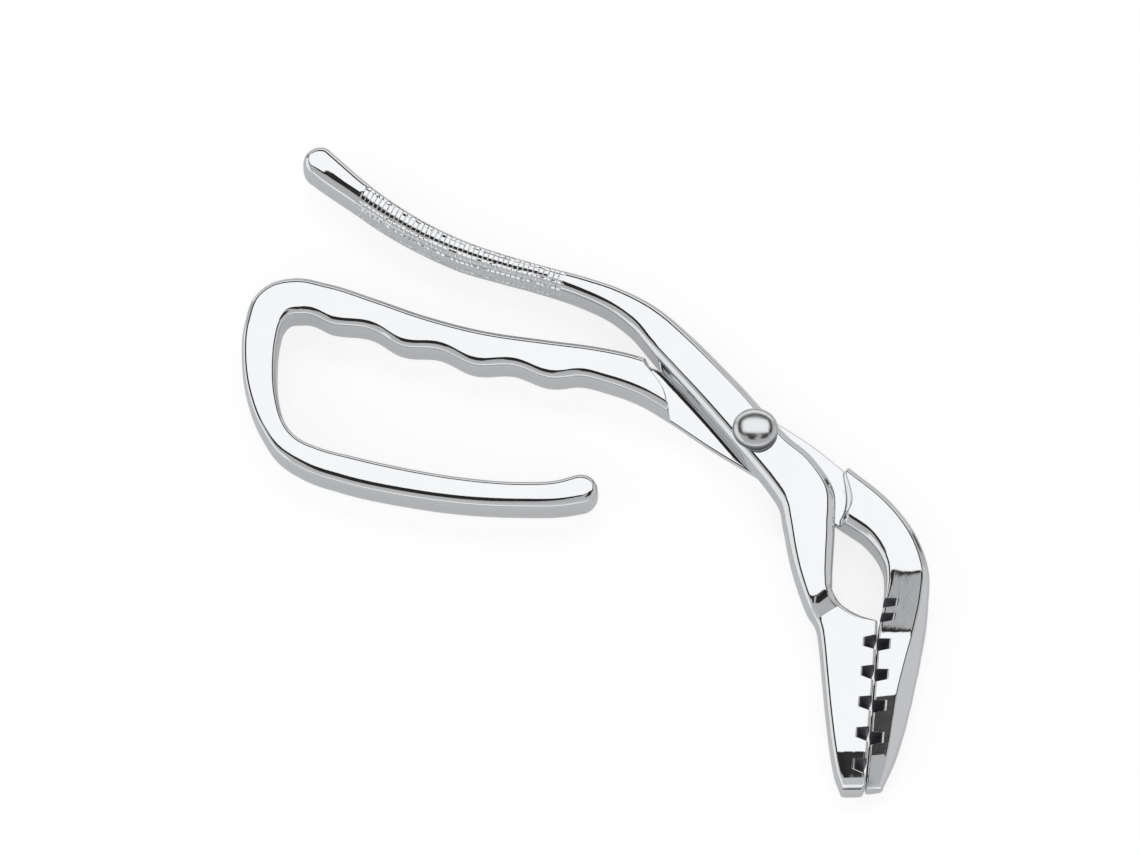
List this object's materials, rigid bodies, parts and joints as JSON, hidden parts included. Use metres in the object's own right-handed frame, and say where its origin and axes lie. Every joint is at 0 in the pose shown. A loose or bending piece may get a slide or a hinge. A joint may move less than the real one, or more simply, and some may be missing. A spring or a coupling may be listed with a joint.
{
  "type": "plier nutcracker",
  "caption": "Plier-type nutcracker lying closed: two chromed cast levers on a domed rivet, an open finger-loop handle, a knurled grip and notched jaws.",
  "frame": {"origin": "on the pivot axis, at the flat end of the rivet, in the plane that the levers' rear faces lie in", "axes": "+Z along the pivot axis towards the rivet's domed head, handles towards -X, jaws towards -Y"},
  "size_m": [0.1648, 0.1726, 0.0131],
  "materials": {
    "front_chrome": "bright chromium plate over a zinc die casting",
    "rear_chrome": "bright chromium plate over a zinc die casting",
    "rivet_steel": "polished plated steel",
    "washer_steel": "plain plated steel"
  },
  "bodies": {
    "loop_lever": {"rear_lever": "rear_chrome", "pivot_rivet": "rivet_steel", "rivet_washer": "washer_steel"},
    "grip_lever": {"front_lever": "front_chrome"}
  },
  "joints": [
    {"name": "lever_pivot", "type": "hinge", "parent": "loop_lever", "child": "grip_lever", "pos_m": [0, 0, 0.0075], "axis": [0, 0, -1], "range_deg": [0, 35]}
  ]
}
